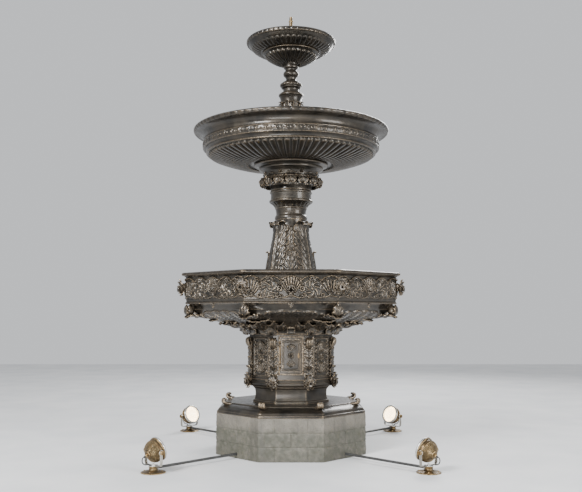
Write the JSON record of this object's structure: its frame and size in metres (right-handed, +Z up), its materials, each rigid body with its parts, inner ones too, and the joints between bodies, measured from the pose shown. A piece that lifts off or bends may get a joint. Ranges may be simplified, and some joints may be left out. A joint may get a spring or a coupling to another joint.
{
  "type": "tiered fountain with underwater lights",
  "caption": "Tiered cast-iron fountain on a stone plinth: octagonal lower basin with corner spouts, two round bowls, a jet, and aimable underwater lights.",
  "frame": {"origin": "centre of the stone plinth's underside, on the pool floor", "axes": "+Z up along the fountain's axis, -Y towards the viewer through the front flat of the octagon, +X to the viewer's right"},
  "size_m": [2.773, 2.773, 4.892],
  "materials": {
    "stone": "dressed buff stone, matt",
    "iron": "wet, glossy black-bronze paint",
    "bronze": "dull cast bronze",
    "steel": "satin stainless",
    "plastic": "moulded black",
    "reflector": "silvered lamp",
    "lens": "clear toughened glass, lamp lit warm white behind it"
  },
  "bodies": {
    "fountain": {"stone_plinth": "stone", "iron_base": "iron", "pedestal_foot": "iron", "pedestal_spout_collar": "iron", "pedestal_body": "iron", "pedestal_capital": "iron", "door_hinge_pin": "steel", "basin_pan": "iron", "basin_frieze": "iron", "basin_coping": "iron", "corner_spout_ring": "iron", "column_base": "iron", "column_shaft": "iron", "column_collar": "iron", "column_capital": "iron", "middle_bowl": "iron", "baluster_vase": "iron", "baluster_knop": "iron", "top_cup": "iron", "top_bowl": "iron", "pump_body": "plastic", "riser_lower": "steel", "valve_body": "bronze", "riser_upper": "steel", "conduit_harness": "steel", "top_ring_light": "bronze", "top_ring_glass": "lens", "basin_light_left_housing": "bronze", "basin_light_left_lens": "lens", "basin_light_front_housing": "bronze", "basin_light_front_lens": "lens", "light_1_base": "bronze", "light_2_base": "bronze", "light_3_base": "bronze", "light_4_base": "bronze"},
    "access_door": {"access_door": "iron"},
    "door_latch": {"door_latch": "bronze"},
    "valve_lever": {"valve_lever": "plastic"},
    "pump_impeller": {"pump_impeller": "plastic"},
    "jet_nozzle": {"jet_nozzle": "bronze"},
    "light_1_yoke": {"light_1_yoke": "steel"},
    "light_1_head": {"light_1_housing": "bronze", "light_1_reflector": "reflector", "light_1_lens": "lens", "light_1_bezel": "bronze"},
    "light_2_yoke": {"light_2_yoke": "steel"},
    "light_2_head": {"light_2_housing": "bronze", "light_2_reflector": "reflector", "light_2_lens": "lens", "light_2_bezel": "bronze"},
    "light_3_yoke": {"light_3_yoke": "steel"},
    "light_3_head": {"light_3_housing": "bronze", "light_3_reflector": "reflector", "light_3_lens": "lens", "light_3_bezel": "bronze"},
    "light_4_yoke": {"light_4_yoke": "steel"},
    "light_4_head": {"light_4_housing": "bronze", "light_4_reflector": "reflector", "light_4_lens": "lens", "light_4_bezel": "bronze"}
  },
  "joints": [
    {"name": "access_door_hinge", "type": "hinge", "parent": "fountain", "child": "access_door", "pos_m": [-0.115, -0.46116, 1.02], "axis": [0, 0, -1], "range_deg": [0, 110]},
    {"name": "door_latch_turn", "type": "hinge", "parent": "access_door", "child": "door_latch", "pos_m": [0.079, -0.44316, 1.02], "axis": [0, 1, 0], "range_deg": [0, 90]},
    {"name": "valve_lever_turn", "type": "hinge", "parent": "fountain", "child": "valve_lever", "pos_m": [0, -0.08, 0.93], "axis": [0, 1, 0], "range_deg": [0, 90]},
    {"name": "pump_impeller_spin", "type": "hinge", "parent": "fountain", "child": "pump_impeller", "pos_m": [0, 0, 0.08], "axis": [0, 0, 1], "continuous": true},
    {"name": "jet_nozzle_tilt", "type": "hinge", "parent": "fountain", "child": "jet_nozzle", "pos_m": [0, 0, 4.64], "axis": [1, 0, 0], "range_deg": [-8, 8]},
    {"name": "light_1_pan", "type": "hinge", "parent": "fountain", "child": "light_1_yoke", "pos_m": [1.27279, 1.27279, 0.0604], "axis": [0, 0, 1], "range_deg": [-90, 90]},
    {"name": "light_1_tilt", "type": "hinge", "parent": "light_1_yoke", "child": "light_1_head", "pos_m": [1.27279, 1.27279, 0.19], "axis": [-0.7071, 0.7071, 0], "range_deg": [-30, 60]},
    {"name": "light_2_pan", "type": "hinge", "parent": "fountain", "child": "light_2_yoke", "pos_m": [-1.27279, 1.27279, 0.0604], "axis": [0, 0, 1], "range_deg": [-90, 90]},
    {"name": "light_2_tilt", "type": "hinge", "parent": "light_2_yoke", "child": "light_2_head", "pos_m": [-1.27279, 1.27279, 0.19], "axis": [-0.7071, -0.7071, 0], "range_deg": [-30, 60]},
    {"name": "light_3_pan", "type": "hinge", "parent": "fountain", "child": "light_3_yoke", "pos_m": [-1.27279, -1.27279, 0.0604], "axis": [0, 0, 1], "range_deg": [-90, 90]},
    {"name": "light_3_tilt", "type": "hinge", "parent": "light_3_yoke", "child": "light_3_head", "pos_m": [-1.27279, -1.27279, 0.19], "axis": [0.7071, -0.7071, 0], "range_deg": [-30, 60]},
    {"name": "light_4_pan", "type": "hinge", "parent": "fountain", "child": "light_4_yoke", "pos_m": [1.27279, -1.27279, 0.0604], "axis": [0, 0, 1], "range_deg": [-90, 90]},
    {"name": "light_4_tilt", "type": "hinge", "parent": "light_4_yoke", "child": "light_4_head", "pos_m": [1.27279, -1.27279, 0.19], "axis": [0.7071, 0.7071, 0], "range_deg": [-30, 60]}
  ]
}
